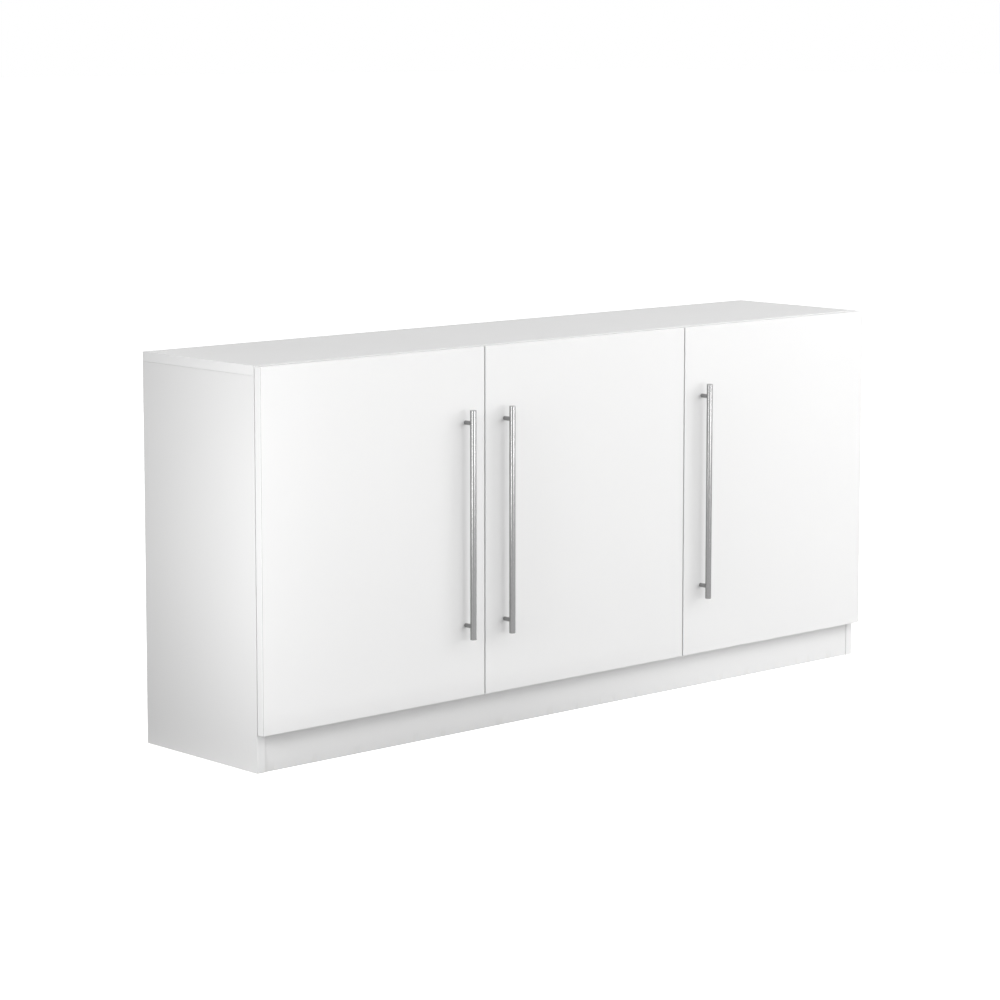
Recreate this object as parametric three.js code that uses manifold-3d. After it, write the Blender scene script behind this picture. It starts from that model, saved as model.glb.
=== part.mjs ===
// A low three-door sideboard in white board.
//
// The top lies over two side panels that run down to the floor.  Two partitions divide the inside
// into three bays, each closed by a full-overlay door, with one loose shelf on four pins.  The doors
// turn on single-pivot cup hinges: the cup and its pin sit in the door, the arm on the carcass.
//
// Millimetres, +Z up, front towards -Y.  The origin is on the floor at the middle of the whole
// object, handles included.

import * as THREE from 'three';
import { mergeVertices } from 'three/addons/utils/BufferGeometryUtils.js';
import Module from 'manifold-3d';

const wasm = await Module();
wasm.setup();

// ---------------------------------------------------------------- driving dimensions

// Carcass
const WIDTH = 1600;
const HEIGHT = 735;
const CARCASS_DEPTH = 332;
const BOARD = 18;
const JOINT_GAP = 0.3; // air left between two pieces that butt or rest on each other

// Back sheets and the grooves that hold them
const BACK_SHEET = 3;
const GROOVE_DEPTH = 6;
const GROOVE_INSET = 12; // from the rear edges to the groove
const SHEET_END_CLEARANCE = 1;

// Plinth
const PLINTH_HEIGHT = 72;
const PLINTH_SETBACK = 1.5;
const REAR_RAIL_SETBACK = 20;

// Shelves and their pins
const SHELF_SETBACK = 12; // behind the carcass front edges
const SHELF_BACK_CLEARANCE = 2;
const SHELF_END_CLEARANCE = 2.2;
const SHELF_RISE = 305; // from the bay floor to the pin that carries the shelf
const PIN_PITCH = 32;
const PIN_SPARE_ROWS = 1; // spare holes above and below the one in use
const PIN_FRONT_INSET = 60; // from the carcass front edges
const PIN_REAR_INSET = 48; // from the back sheet
const PIN_DIAMETER = 4.8;
const PIN_HOLE_DIAMETER = 5.5;
const PIN_HOLE_DEPTH = 8.5;
const PIN_INSERTED = 8;
const PIN_EXPOSED = 8;
const PIN_COLLAR_DIAMETER = 8;
const PIN_COLLAR = 1.2;

// Doors
const DOOR_BOARD = 16;
const DOOR_STANDOFF = 2; // least air between the carcass front edges and the door backs
const DOOR_REVEAL = 3; // least air between two doors
const SWING_CLEARANCE = 0.15; // between a door's corner as it swings and what it passes
const DOOR_TOP_DROP = 1; // door tops below the top surface
const DOOR_PLINTH_LAP = 1; // door bottoms below the plinth's upper edge

// Bar handles
const BAR_DIAMETER = 12;
const BAR_LENGTH = 434;
const BAR_CHAMFER = 0.8;
const BAR_STANDOFF = 22; // from the door face to the bar's axis
const BAR_INSET = 48; // from the door's free edge to the bar's axis
const POST_DIAMETER = 8;
const POST_SPACING = 384;

// Cup hinges.  The pivot is measured from the door's hinged edge and from its face.
const HINGE_INSET = 90; // from the door's top or bottom to the hinge's middle
const PIVOT_FROM_EDGE = 6.3;
const CUP_DIAMETER = 35;
const CUP_EDGE_STRIP = 3; // board left between the cup and the door's edge
const CUP_DEPTH = 13;
const CUP_WALL = 0.8;
const CUP_RIM_WIDTH = 0.7;
const CUP_RIM = 0.5;
const CUP_WING_LENGTH = 60;
const CUP_WING_WIDTH = 14;
const CUP_WING_OFFSET = 9.5; // from the cup's middle, away from the door's edge
const HINGE_PIN_DIAMETER = 2;
const HINGE_BORE_DIAMETER = 2.2;
const KNUCKLE_DIAMETER = 4;
const KNUCKLE_LENGTH = 6;
const KNUCKLE_FLOOR_CLEARANCE = 0.25;
const EAR_THICKNESS = 2;
const EAR_REACH = 2.4; // of the cup's ears beyond the pivot
const NECK_THICKNESS = 1.7;
const NECK_REACH = 14.3; // least distance from the pivot to the arm's first leg
const ARM_THICKNESS = 1.8;
const ARM_HEIGHT = 11;
const ARM_BODY_LENGTH = 46;
const ARM_BODY_RISE = 9; // of the arm's body above the carcass board
const ARM_FRONT_SETBACK = 3; // from the carcass front edges to the arm's body
const PLATE_THICKNESS = 2.3;
const PLATE_SCREW_SPAN = 46;
const PLATE_SCREW_WIDTH = 14;

// Facets round a circle
const BAR_FACETS = 24;
const CUP_FACETS = 40;
const SMALL_FACETS = 16;
const HOLE_FACETS = 12;

// ---------------------------------------------------------------- places worked out from them

// The pivot's place in the door's thickness, and how far the door's two corners swing past its
// closed edge and past its closed back.  The air round the doors is never less than that.
const cupFloor = DOOR_BOARD - CUP_DEPTH;
const pivotFromFace = cupFloor + CUP_WALL + KNUCKLE_FLOOR_CLEARANCE + KNUCKLE_DIAMETER / 2;
const pivotFromBack = DOOR_BOARD - pivotFromFace;
const edgeSwing = Math.hypot(PIVOT_FROM_EDGE, pivotFromFace) - PIVOT_FROM_EDGE;
const backSwing = Math.hypot(PIVOT_FROM_EDGE, pivotFromBack) - pivotFromBack;
const doorReveal = Math.max(DOOR_REVEAL, edgeSwing + SWING_CLEARANCE);
const doorStandoff = Math.max(DOOR_STANDOFF, backSwing + SWING_CLEARANCE);

const overallDepth = CARCASS_DEPTH + doorStandoff + DOOR_BOARD + BAR_STANDOFF + BAR_DIAMETER / 2;
const rearY = overallDepth / 2;
const frontY = rearY - CARCASS_DEPTH;
const doorBackY = frontY - doorStandoff;
const doorFaceY = doorBackY - DOOR_BOARD;
const pivotY = doorFaceY + pivotFromFace;

const topUndersideZ = HEIGHT - BOARD;
const bottomUndersideZ = PLINTH_HEIGHT + JOINT_GAP;
const bayFloorZ = bottomUndersideZ + BOARD;

const sideInnerX = WIDTH / 2 - BOARD;
const doorWidth = (WIDTH - 2 * doorReveal) / 3;
const partitionX = (doorWidth + doorReveal) / 2;

const grooveWidth = BACK_SHEET + 2 * JOINT_GAP;
const grooveY = [rearY - GROOVE_INSET - grooveWidth, rearY - GROOVE_INSET];
const sheetY = [grooveY[0] + JOINT_GAP, grooveY[1] - JOINT_GAP];

const doorZ = [PLINTH_HEIGHT - DOOR_PLINTH_LAP, HEIGHT - DOOR_TOP_DROP];
const pinZ = bayFloorZ + SHELF_RISE;
const pinColumnsY = [frontY + PIN_FRONT_INSET, sheetY[0] - PIN_REAR_INSET];

const bays = [
  { name: 'left', x: [-sideInnerX, -partitionX - BOARD / 2] },
  { name: 'middle', x: [-partitionX + BOARD / 2, partitionX - BOARD / 2] },
  { name: 'right', x: [partitionX + BOARD / 2, sideInnerX] },
];

// One row per door.  inward points from the hinged edge into the door, and boardFace is the face of
// the side panel or partition that carries the arms.
const doors = [
  { name: 'left', edge: -WIDTH / 2, inward: 1, boardFace: -sideInnerX },
  { name: 'middle', edge: doorWidth / 2, inward: -1, boardFace: partitionX - BOARD / 2 },
  { name: 'right', edge: WIDTH / 2, inward: -1, boardFace: sideInnerX },
];

// ---------------------------------------------------------------- materials

const whiteBoard = new THREE.MeshStandardMaterial({ color: 0xf1f1f0, roughness: 0.42, metalness: 0 });
const whiteSheet = new THREE.MeshStandardMaterial({ color: 0xe6e5e1, roughness: 0.6, metalness: 0 });
const brushedSteel = new THREE.MeshStandardMaterial({ color: 0xb9bbbd, roughness: 0.32, metalness: 1 });
const nickelPlate = new THREE.MeshStandardMaterial({ color: 0xc4c2bc, roughness: 0.25, metalness: 1 });

// ---------------------------------------------------------------- helpers

const sideboard = new THREE.Group();

function add(name, geometry, material) {
  const mesh = new THREE.Mesh(geometry, material);
  mesh.name = name;
  sideboard.add(mesh);
  return mesh;
}

// A box between two corners.  Each argument is a pair of values in either order.
function boxBetween(x, y, z) {
  const spans = [x, y, z].map(([a, b]) => Math.abs(b - a));
  const middles = [x, y, z].map(([a, b]) => (a + b) / 2);
  return new THREE.BoxGeometry(...spans).translate(...middles);
}

// A round bar between two points on one of the axes 'x', 'y' or 'z'.
function barAlong(axis, diameter, span, x, y, z, facets) {
  const bar = new THREE.CylinderGeometry(diameter / 2, diameter / 2, Math.abs(span[1] - span[0]), facets);
  if (axis === 'x') bar.rotateZ(Math.PI / 2);
  if (axis === 'z') bar.rotateX(Math.PI / 2);
  const middle = (span[0] + span[1]) / 2;
  return bar.translate(
    axis === 'x' ? middle : x,
    axis === 'y' ? middle : y,
    axis === 'z' ? middle : z,
  );
}

function toSolid(geometry) {
  const bare = geometry.clone();
  bare.deleteAttribute('normal');
  bare.deleteAttribute('uv');
  const merged = mergeVertices(bare, 1e-4);
  return new wasm.Manifold(
    new wasm.Mesh({
      numProp: 3,
      vertProperties: new Float32Array(merged.attributes.position.array),
      triVerts: new Uint32Array(merged.index.array),
    }),
  );
}

function toGeometry(solid) {
  const mesh = solid.getMesh();
  const geometry = new THREE.BufferGeometry();
  geometry.setAttribute('position', new THREE.BufferAttribute(new Float32Array(mesh.vertProperties), 3));
  geometry.setIndex(new THREE.BufferAttribute(new Uint32Array(mesh.triVerts), 1));
  geometry.computeVertexNormals();
  return geometry;
}

// Joins the first list of shapes and cuts the second list out of the result.
function carve(shapes, cuts = []) {
  let solid = toSolid(shapes[0]);
  for (const shape of shapes.slice(1)) solid = solid.add(toSolid(shape));
  for (const cut of cuts) solid = solid.subtract(toSolid(cut));
  return toGeometry(solid);
}

// ---------------------------------------------------------------- carcass

// The holes for shelf pins in one board face.  into points from the bay into the board.
function pinHoles(faceX, into) {
  const holes = [];
  const span = [faceX - into, faceX + into * PIN_HOLE_DEPTH];
  for (const y of pinColumnsY) {
    for (let row = -PIN_SPARE_ROWS; row <= PIN_SPARE_ROWS; row += 1) {
      holes.push(barAlong('x', PIN_HOLE_DIAMETER, span, 0, y, pinZ + row * PIN_PITCH, HOLE_FACETS));
    }
  }
  return holes;
}

function addTop() {
  const groove = boxBetween(
    [-sideInnerX - GROOVE_DEPTH, sideInnerX + GROOVE_DEPTH],
    grooveY,
    [topUndersideZ - 1, topUndersideZ + GROOVE_DEPTH],
  );
  const board = boxBetween([-WIDTH / 2, WIDTH / 2], [frontY, rearY], [topUndersideZ, HEIGHT]);
  add('top_panel', carve([board], [groove]), whiteBoard);
}

function addSide(name, side) {
  const board = boxBetween(
    [side * sideInnerX, (side * WIDTH) / 2],
    [frontY, rearY],
    [0, topUndersideZ - JOINT_GAP],
  );
  const groove = boxBetween(
    [side * (sideInnerX - 1), side * (sideInnerX + GROOVE_DEPTH)],
    grooveY,
    [bayFloorZ - GROOVE_DEPTH, topUndersideZ + 1],
  );
  add(name, carve([board], [groove, ...pinHoles(side * sideInnerX, side)]), whiteBoard);
}

function addBottom() {
  const endX = sideInnerX - JOINT_GAP;
  const board = boxBetween([-endX, endX], [frontY, rearY], [bottomUndersideZ, bayFloorZ]);
  const groove = boxBetween([-endX - 1, endX + 1], grooveY, [bayFloorZ - GROOVE_DEPTH, bayFloorZ + 1]);
  add('bottom_panel', carve([board], [groove]), whiteBoard);
}

function addPartition(name, side) {
  const faces = [side * partitionX - BOARD / 2, side * partitionX + BOARD / 2];
  const z = [bayFloorZ + JOINT_GAP, topUndersideZ - JOINT_GAP];
  const grooves = [
    boxBetween([faces[0] - 1, faces[0] + GROOVE_DEPTH], grooveY, [z[0] - 1, z[1] + 1]),
    boxBetween([faces[1] - GROOVE_DEPTH, faces[1] + 1], grooveY, [z[0] - 1, z[1] + 1]),
  ];
  const holes = [...pinHoles(faces[0], 1), ...pinHoles(faces[1], -1)];
  add(name, carve([boxBetween(faces, [frontY, rearY], z)], [...grooves, ...holes]), whiteBoard);
}

function addBackSheet(bay) {
  const reach = GROOVE_DEPTH - SHEET_END_CLEARANCE;
  const sheet = boxBetween(
    [bay.x[0] - reach, bay.x[1] + reach],
    sheetY,
    [bayFloorZ - reach, topUndersideZ + reach],
  );
  add(`${bay.name}_back_sheet`, sheet, whiteSheet);
}

function addPlinth() {
  const endX = sideInnerX - JOINT_GAP;
  const frontBoardY = [frontY + PLINTH_SETBACK, frontY + PLINTH_SETBACK + BOARD];
  const rearRailY = [rearY - REAR_RAIL_SETBACK - BOARD, rearY - REAR_RAIL_SETBACK];
  add('plinth_front', boxBetween([-endX, endX], frontBoardY, [0, PLINTH_HEIGHT]), whiteBoard);
  add('plinth_rear_rail', boxBetween([-endX, endX], rearRailY, [0, PLINTH_HEIGHT]), whiteBoard);
  for (const [name, side] of [['left', -1], ['right', 1]]) {
    const x = [side * partitionX - BOARD / 2, side * partitionX + BOARD / 2];
    const y = [frontBoardY[1] + JOINT_GAP, rearRailY[0] - JOINT_GAP];
    add(`${name}_plinth_brace`, boxBetween(x, y, [0, PLINTH_HEIGHT]), whiteBoard);
  }
}

// ---------------------------------------------------------------- shelves

function addShelf(bay) {
  const undersideZ = pinZ + PIN_DIAMETER / 2 + JOINT_GAP;
  const board = boxBetween(
    [bay.x[0] + SHELF_END_CLEARANCE, bay.x[1] - SHELF_END_CLEARANCE],
    [frontY + SHELF_SETBACK, sheetY[0] - SHELF_BACK_CLEARANCE],
    [undersideZ, undersideZ + BOARD],
  );
  add(`${bay.name}_shelf`, board, whiteBoard);
}

// A turned pin with a collar, along +Y, its collar's seat at the origin.
function shelfPinShape() {
  const peg = PIN_DIAMETER / 2;
  const collar = PIN_COLLAR_DIAMETER / 2;
  const profile = [
    [0, -PIN_INSERTED],
    [peg, -PIN_INSERTED],
    [peg, JOINT_GAP],
    [collar, JOINT_GAP],
    [collar, JOINT_GAP + PIN_COLLAR],
    [peg, JOINT_GAP + PIN_COLLAR],
    [peg, PIN_EXPOSED - 0.5],
    [peg - 0.5, PIN_EXPOSED],
    [0, PIN_EXPOSED],
  ];
  return new THREE.LatheGeometry(profile.map(([r, y]) => new THREE.Vector2(r, y)), HOLE_FACETS);
}

function addShelfPins(bay) {
  for (const [endName, x, intoBay] of [['left', bay.x[0], 1], ['right', bay.x[1], -1]]) {
    for (const [rowName, y] of [['front', pinColumnsY[0]], ['rear', pinColumnsY[1]]]) {
      const pin = add(`${bay.name}_shelf_pin_${endName}_${rowName}`, shelfPinShape(), nickelPlate);
      pin.rotation.z = (-intoBay * Math.PI) / 2;
      pin.position.set(x, y, pinZ);
    }
  }
}

// ---------------------------------------------------------------- cup hinges

const cupFromEdge = CUP_EDGE_STRIP + CUP_DIAMETER / 2;

const hingeHeights = [
  { name: 'lower', z: doorZ[0] + HINGE_INSET },
  { name: 'upper', z: doorZ[1] - HINGE_INSET },
];

// A pressed cup with a rim and two screw wings on the door's back, and two ears that hold the pin.
function hingeCup(door, z) {
  const outer = CUP_DIAMETER / 2;
  const inner = outer - CUP_WALL;
  const rim = outer + CUP_RIM_WIDTH;
  const rimY = [doorBackY + JOINT_GAP, doorBackY + JOINT_GAP + CUP_RIM];
  const floorY = doorFaceY + cupFloor;
  const profile = [
    [0, floorY],
    [outer, floorY],
    [outer, rimY[0]],
    [rim, rimY[0]],
    [rim, rimY[1]],
    [inner, rimY[1]],
    [inner, floorY + CUP_WALL],
    [0, floorY + CUP_WALL],
  ];
  const middleX = door.edge + door.inward * cupFromEdge;
  const bowl = new THREE.LatheGeometry(profile.map(([r, y]) => new THREE.Vector2(r, y)), CUP_FACETS);
  bowl.translate(middleX, 0, z);

  const mouth = barAlong('y', 2 * inner, [floorY + CUP_WALL, rimY[1] + 1], middleX, 0, z, CUP_FACETS);
  const wingX = middleX + door.inward * CUP_WING_OFFSET;
  const wing = boxBetween(
    [wingX - CUP_WING_WIDTH / 2, wingX + CUP_WING_WIDTH / 2],
    rimY,
    [z - CUP_WING_LENGTH / 2, z + CUP_WING_LENGTH / 2],
  );
  const flange = carve([wing], [mouth]);

  const pivotX = door.edge + door.inward * PIVOT_FROM_EDGE;
  const earStartX = door.edge + door.inward * (CUP_EDGE_STRIP + CUP_WALL);
  const earEndX = pivotX + door.inward * EAR_REACH;
  const ears = [-1, 1].map((way) => {
    const near = z + way * (KNUCKLE_LENGTH / 2 + JOINT_GAP);
    const y = [floorY + CUP_WALL / 2, pivotY + EAR_REACH];
    return boxBetween([earStartX, earEndX], y, [near, near + way * EAR_THICKNESS]);
  });
  const pinSpan = KNUCKLE_LENGTH / 2 + JOINT_GAP + EAR_THICKNESS + 0.5;
  const bore = barAlong('z', HINGE_BORE_DIAMETER, [z - pinSpan, z + pinSpan], pivotX, pivotY, 0, SMALL_FACETS);
  return carve([bowl, flange, ...ears], [bore]);
}

function hingePin(door, z) {
  const half = KNUCKLE_LENGTH / 2 + JOINT_GAP + EAR_THICKNESS;
  const pivotX = door.edge + door.inward * PIVOT_FROM_EDGE;
  return barAlong('z', HINGE_PIN_DIAMETER, [z - half, z + half], pivotX, pivotY, 0, SMALL_FACETS);
}

// An arm that leaves the pin into the door, turns back out of the cup, steps towards the board that
// carries it, and ends in a body on a screwed plate.  The neck lies on the face side of the pivot,
// so that it stays inside the cup's mouth when the door stands open.
function hingeArm(door, z) {
  const across = (reach) => door.edge + door.inward * reach; // from the door's edge into the door
  const plateNear = (door.boardFace - door.edge) * door.inward + JOINT_GAP;
  const plateFar = plateNear + PLATE_THICKNESS;
  const legNear = Math.max(PIVOT_FROM_EDGE + NECK_REACH, plateFar);
  const legFar = legNear + ARM_THICKNESS;
  const bodyFar = Math.max(plateNear + ARM_BODY_RISE, legFar);
  const bodyY = [frontY + ARM_FRONT_SETBACK, frontY + ARM_FRONT_SETBACK + ARM_BODY_LENGTH];
  const tall = [z - ARM_HEIGHT / 2, z + ARM_HEIGHT / 2];
  const narrow = [z - KNUCKLE_LENGTH / 2, z + KNUCKLE_LENGTH / 2];
  const wingY = (bodyY[0] + bodyY[1]) / 2;

  const shapes = [
    barAlong('z', KNUCKLE_DIAMETER, narrow, across(PIVOT_FROM_EDGE), pivotY, 0, SMALL_FACETS),
    boxBetween([across(PIVOT_FROM_EDGE), across(legFar)], [pivotY - NECK_THICKNESS, pivotY], narrow),
    boxBetween([across(legNear), across(legFar)], [pivotY - NECK_THICKNESS, bodyY[0] + ARM_THICKNESS], tall),
    boxBetween([across(plateNear), across(bodyFar)], bodyY, tall),
    boxBetween(
      [across(plateNear), across(plateFar)],
      [wingY - PLATE_SCREW_WIDTH / 2, wingY + PLATE_SCREW_WIDTH / 2],
      [z - PLATE_SCREW_SPAN / 2, z + PLATE_SCREW_SPAN / 2],
    ),
  ];
  const boreZ = [narrow[0] - 1, narrow[1] + 1];
  const bore = barAlong('z', HINGE_BORE_DIAMETER, boreZ, across(PIVOT_FROM_EDGE), pivotY, 0, SMALL_FACETS);
  return carve(shapes, [bore]);
}

function addHinges(door) {
  for (const height of hingeHeights) {
    const name = `${door.name}_${height.name}_hinge`;
    add(`${name}_arm`, hingeArm(door, height.z), nickelPlate);
    add(`${name}_cup`, hingeCup(door, height.z), nickelPlate);
    add(`${name}_pin`, hingePin(door, height.z), nickelPlate);
  }
}

// ---------------------------------------------------------------- doors

function addDoor(door) {
  const board = boxBetween([door.edge, door.edge + door.inward * doorWidth], [doorFaceY, doorBackY], doorZ);
  const cupX = door.edge + door.inward * cupFromEdge;
  const pocketDiameter = CUP_DIAMETER + 3 * JOINT_GAP;
  const pocketY = [doorFaceY + cupFloor - JOINT_GAP, doorBackY + 1];
  const pockets = hingeHeights.map((height) =>
    barAlong('y', pocketDiameter, pocketY, cupX, 0, height.z, CUP_FACETS));
  add(`${door.name}_door`, carve([board], pockets), whiteBoard);
}

function addHandle(door) {
  const barX = door.edge + door.inward * (doorWidth - BAR_INSET);
  const barY = doorFaceY - BAR_STANDOFF;
  const middleZ = (doorZ[0] + doorZ[1]) / 2;
  const radius = BAR_DIAMETER / 2;
  const profile = [
    [0, -BAR_LENGTH / 2],
    [radius - BAR_CHAMFER, -BAR_LENGTH / 2],
    [radius, BAR_CHAMFER - BAR_LENGTH / 2],
    [radius, BAR_LENGTH / 2 - BAR_CHAMFER],
    [radius - BAR_CHAMFER, BAR_LENGTH / 2],
    [0, BAR_LENGTH / 2],
  ];
  const bar = new THREE.LatheGeometry(profile.map(([r, y]) => new THREE.Vector2(r, y)), BAR_FACETS);
  const barMesh = add(`${door.name}_handle_bar`, bar, brushedSteel);
  barMesh.rotation.x = Math.PI / 2;
  barMesh.position.set(barX, barY, middleZ);

  for (const [name, way] of [['lower', -1], ['upper', 1]]) {
    const z = middleZ + (way * POST_SPACING) / 2;
    const post = barAlong('y', POST_DIAMETER, [barY, doorFaceY - JOINT_GAP], barX, 0, z, BAR_FACETS);
    const seatZ = [z - POST_DIAMETER, z + POST_DIAMETER];
    const seat = barAlong('z', BAR_DIAMETER + 2 * JOINT_GAP, seatZ, barX, barY, 0, BAR_FACETS);
    add(`${door.name}_handle_post_${name}`, carve([post], [seat]), brushedSteel);
  }
}

// ---------------------------------------------------------------- assembly

addTop();
addSide('left_side_panel', -1);
addSide('right_side_panel', 1);
addBottom();
addPartition('left_partition', -1);
addPartition('right_partition', 1);
addPlinth();
for (const bay of bays) {
  addBackSheet(bay);
  addShelf(bay);
  addShelfPins(bay);
}
for (const door of doors) {
  addDoor(door);
  addHandle(door);
  addHinges(door);
}

export default sideboard;
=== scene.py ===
# %% [markdown]
# # A white three-door sideboard
# The measured model of the sideboard is opened first and stays fixed. Every visible piece is then
# built in the same place, in metres, and rides on the body that carries it: the carcass or a door.
# The front of the sideboard faces -Y and +Z is up.

import math

import bmesh
import bpy
from mathutils import Matrix, Vector


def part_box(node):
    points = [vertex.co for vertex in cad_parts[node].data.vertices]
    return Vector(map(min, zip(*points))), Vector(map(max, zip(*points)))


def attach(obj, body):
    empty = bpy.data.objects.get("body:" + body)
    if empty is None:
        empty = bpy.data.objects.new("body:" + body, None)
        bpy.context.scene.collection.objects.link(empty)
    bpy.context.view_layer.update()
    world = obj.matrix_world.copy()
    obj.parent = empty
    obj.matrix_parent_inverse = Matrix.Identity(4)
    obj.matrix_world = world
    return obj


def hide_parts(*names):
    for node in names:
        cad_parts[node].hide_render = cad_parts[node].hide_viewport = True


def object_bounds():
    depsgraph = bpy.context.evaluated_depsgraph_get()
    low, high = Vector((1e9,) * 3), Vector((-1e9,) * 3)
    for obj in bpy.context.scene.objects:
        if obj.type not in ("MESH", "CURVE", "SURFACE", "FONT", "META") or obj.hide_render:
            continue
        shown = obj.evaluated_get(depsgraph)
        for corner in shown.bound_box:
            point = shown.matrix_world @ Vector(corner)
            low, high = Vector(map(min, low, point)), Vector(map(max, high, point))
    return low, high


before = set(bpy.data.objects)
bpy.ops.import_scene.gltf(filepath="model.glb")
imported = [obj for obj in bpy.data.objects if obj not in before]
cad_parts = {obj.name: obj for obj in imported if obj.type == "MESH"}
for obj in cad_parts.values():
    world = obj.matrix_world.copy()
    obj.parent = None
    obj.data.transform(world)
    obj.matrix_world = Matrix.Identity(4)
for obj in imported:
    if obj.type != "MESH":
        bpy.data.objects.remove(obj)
cad_low, cad_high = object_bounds()
MM = 0.001
DOORS = ("left", "middle", "right")

# %% [markdown]
# The camera stands in front and to the left, a little above the top. A long lens from six metres
# keeps the lines nearly parallel. The small downward shift lets it look down less steeply, so that
# the upright edges stay nearly upright.

# %% Place the camera
CAMERA_AZIMUTH = math.radians(-42.34)
CAMERA_DOWN = math.radians(6.86)
CAMERA_DISTANCE = 6.2
CAMERA_LENS = 112.8
CAMERA_SHIFT = -0.1
CAMERA_REACH = 200
CAMERA_AIM = (cad_low + cad_high) / 2 + Vector((-0.027, 0.061, 0.226))

camera_data = bpy.data.cameras.new("camera")
camera_data.lens = CAMERA_LENS
camera_data.sensor_width = 36
camera_data.shift_y = CAMERA_SHIFT
camera_data.clip_end = CAMERA_REACH
camera = bpy.data.objects.new("camera", camera_data)
bpy.context.scene.collection.objects.link(camera)
towards_camera = Vector((
    math.sin(CAMERA_AZIMUTH) * math.cos(CAMERA_DOWN),
    -math.cos(CAMERA_AZIMUTH) * math.cos(CAMERA_DOWN),
    math.sin(CAMERA_DOWN),
))
camera.location = CAMERA_AIM + towards_camera * CAMERA_DISTANCE
camera.rotation_euler = (-towards_camera).to_track_quat("-Z", "Y").to_euler()
bpy.context.scene.camera = camera
print("camera at", [round(c, 3) for c in camera.location])

# %% [markdown]
# ## Writing shader maths as sums
# A procedural finish is a graph of nodes, and a long graph is hard to read as calls. A wire stands
# for one output socket and understands plus, minus and times, so that a pattern reads as a formula.
# A finish holds one material, and its only other way to add a node is a single method.


# %% A wire that understands arithmetic
class Wire:
    """One output socket of a finish, usable in Python expressions."""

    def __init__(self, finish, socket):
        self.finish = finish
        self.socket = socket

    def math(self, operation, *others):
        return self.finish.math(operation, self, *others)

    def __add__(self, other):
        return self.math("ADD", other)

    def __sub__(self, other):
        return self.math("SUBTRACT", other)

    def __rsub__(self, other):
        return self.finish.math("SUBTRACT", other, self)

    def __mul__(self, other):
        return self.math("MULTIPLY", other)

    __radd__ = __add__
    __rmul__ = __mul__

    def below(self, limit):
        return self.math("LESS_THAN", limit)

    def above(self, limit):
        return self.math("GREATER_THAN", limit)

    def off(self, middle):
        """How far the value is from a middle, without its sign."""
        return (self - middle).math("ABSOLUTE")

    def or_else(self, other):
        return self.math("MAXIMUM", other)


# %% A finish that holds one material
class Finish:
    """A material under construction, with its shader and its object coordinates."""

    def __init__(self, name, **shader_values):
        self.material = bpy.data.materials.new(name)
        self.material.use_nodes = True
        self.tree = self.material.node_tree
        self.tree.nodes.clear()
        shader = self.node("ShaderNodeBsdfPrincipled", out="BSDF")
        self.shader = shader.socket.node
        for key, value in shader_values.items():
            self.shader.inputs[key.replace("_", " ")].default_value = value
        self.node("ShaderNodeOutputMaterial", inputs={"Surface": shader}, out=None)
        self.place = self.node("ShaderNodeTexCoord", out="Object")
        parts = self.node("ShaderNodeSeparateXYZ", inputs={0: self.place})
        self.x, self.y, self.z = (Wire(self, parts.socket.node.outputs[i]) for i in range(3))

    def node(self, kind, settings=None, inputs=None, out=0):
        """Adds any node: first its settings, then the values or wires of its sockets."""
        made = self.tree.nodes.new(kind)
        for key, value in (settings or {}).items():
            if key == "stops":
                elements = made.color_ramp.elements
                while len(elements) < len(value):
                    elements.new(0.5)
                for element, (position, colour) in zip(elements, value):
                    element.position = position
                    element.color = (*colour, 1)
            else:
                setattr(made, key, value)
        for key, value in (inputs or {}).items():
            if isinstance(value, Wire):
                self.tree.links.new(value.socket, made.inputs[key])
            else:
                made.inputs[key].default_value = value
        return None if out is None else Wire(self, made.outputs[out])

    def math(self, operation, *values):
        return self.node(
            "ShaderNodeMath", {"operation": operation}, dict(enumerate(values)))

    def stretched(self, scale):
        """The object coordinates, squeezed or stretched along each axis."""
        return self.node(
            "ShaderNodeVectorMath", {"operation": "MULTIPLY"}, {0: self.place, 1: scale})

    def noise(self, scale, detail=2, roughness=0.5, vector=None):
        return self.node("ShaderNodeTexNoise", {"noise_dimensions": "3D"}, {
            "Vector": vector or self.place, "Scale": scale, "Detail": detail, "Roughness": roughness})

    def mix(self, share, first, second):
        """A colour between two colours."""
        first, second = ((*c, 1) if isinstance(c, tuple) else c for c in (first, second))
        return self.node(
            "ShaderNodeMix", {"data_type": "RGBA"}, {0: share, 6: first, 7: second}, out=2)

    def feed(self, **wires):
        for key, wire in wires.items():
            self.tree.links.new(wire.socket, self.shader.inputs[key.replace("_", " ")])
        return self

    def bump(self, *layers):
        """Stacks height layers, each (wire, height in metres), into the shader's normal."""
        normal = None
        for height, metres in layers:
            inputs = {"Strength": 1.0, "Distance": metres, "Height": height}
            if normal:
                inputs["Normal"] = normal
            normal = self.node("ShaderNodeBump", inputs=inputs)
        return self.feed(Normal=normal)


# %% [markdown]
# ## White laminate
# The boards are particle board faced with white melamine paper, pressed against a steel plate with
# a fine pebble. Seen close, that pebble breaks up the reflection. A thin plastic band covers each
# cut edge: it is whiter and glossier than the face, and a hairline shows where it ends. On the
# outer edges of the end doors, a wider grey line over it is painted shade of the rounded corner.
# The band follows each board's own edges, so each board gets its own finish from its own box.

# %% The laminate finish
BAND = 0.9 * MM
SEAM = 0.09 * MM
# Painted shade: how far a wider grey line reaches either side of the band's edge, at the rounded
# front corner of the end doors' outer edges.
CORNER_SHADE_REACH = 0.4 * MM
LAMINATE = (0.775, 0.774, 0.772)
LAMINATE_SHADE = (0.757, 0.757, 0.756)
BAND_WHITE = (0.797, 0.798, 0.797)
SEAM_GREY = (0.56, 0.56, 0.557)
# Grey of the painted shade line at the rounded front corner of the end doors' outer edges.
CORNER_SHADE_GREY = (0.33, 0.33, 0.325)
SCUFF_GREY = (0.64, 0.635, 0.62)
SCUFF_TOP = 20 * MM
SCUFF_FADE = 30


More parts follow.
